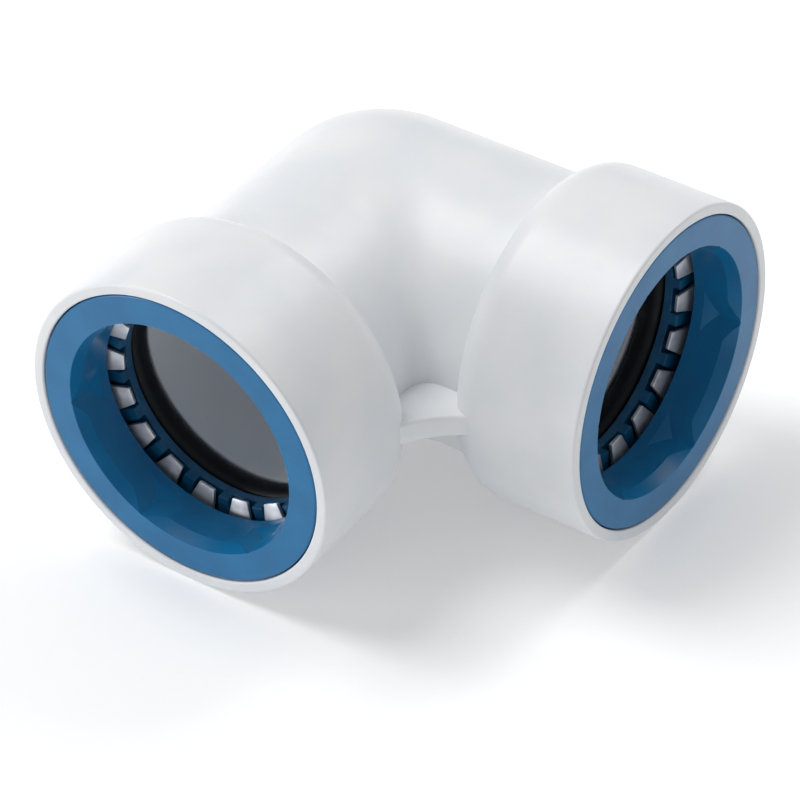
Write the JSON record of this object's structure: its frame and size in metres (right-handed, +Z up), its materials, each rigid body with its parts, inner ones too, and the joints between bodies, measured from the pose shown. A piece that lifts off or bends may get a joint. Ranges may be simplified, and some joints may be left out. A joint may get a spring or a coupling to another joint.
{
  "type": "push-fit pipe elbow",
  "caption": "White 90 degree push-fit elbow for plastic pressure pipe, with blue sliding release collars, stainless grab rings and O-rings in its sockets.",
  "frame": {"origin": "On the surface the elbow lies on, below the middle of its outline. The two socket axes are level, 20 mm above it, and cross at x = -9.55 mm, y = 9.55 mm.", "axes": "+Z up; socket a opens towards -Y; socket b opens towards +X"},
  "size_m": [0.059, 0.059, 0.04],
  "materials": {
    "white_pvc": "glossy moulded white PVC",
    "collar_blue": "satin moulded blue plastic",
    "cage_blue": "moulded dark blue plastic",
    "stainless": "stamped spring stainless steel",
    "seal_rubber": "lubricated black EPDM rubber",
    "retainer_grey": "plain grey moulded plastic"
  },
  "bodies": {
    "fitting": {"elbow_body": "white_pvc", "retainer_ring_a": "retainer_grey", "grab_ring_a": "stainless", "tooth_cage_a": "cage_blue", "o_ring_a": "seal_rubber", "retainer_ring_b": "retainer_grey", "grab_ring_b": "stainless", "tooth_cage_b": "cage_blue", "o_ring_b": "seal_rubber"},
    "collar_a": {"release_collar_a": "collar_blue"},
    "collar_b": {"release_collar_b": "collar_blue"}
  },
  "joints": [
    {"name": "collar_a_slide", "type": "slide", "parent": "fitting", "child": "collar_a", "axis": [0, 1, 0], "range_m": [0, 0.0011], "stiffness_N_per_m": 5000, "deforming": ["grab_ring_a"]},
    {"name": "collar_b_slide", "type": "slide", "parent": "fitting", "child": "collar_b", "axis": [-1, 0, 0], "range_m": [0, 0.0011], "stiffness_N_per_m": 5000, "deforming": ["grab_ring_b"]}
  ]
}
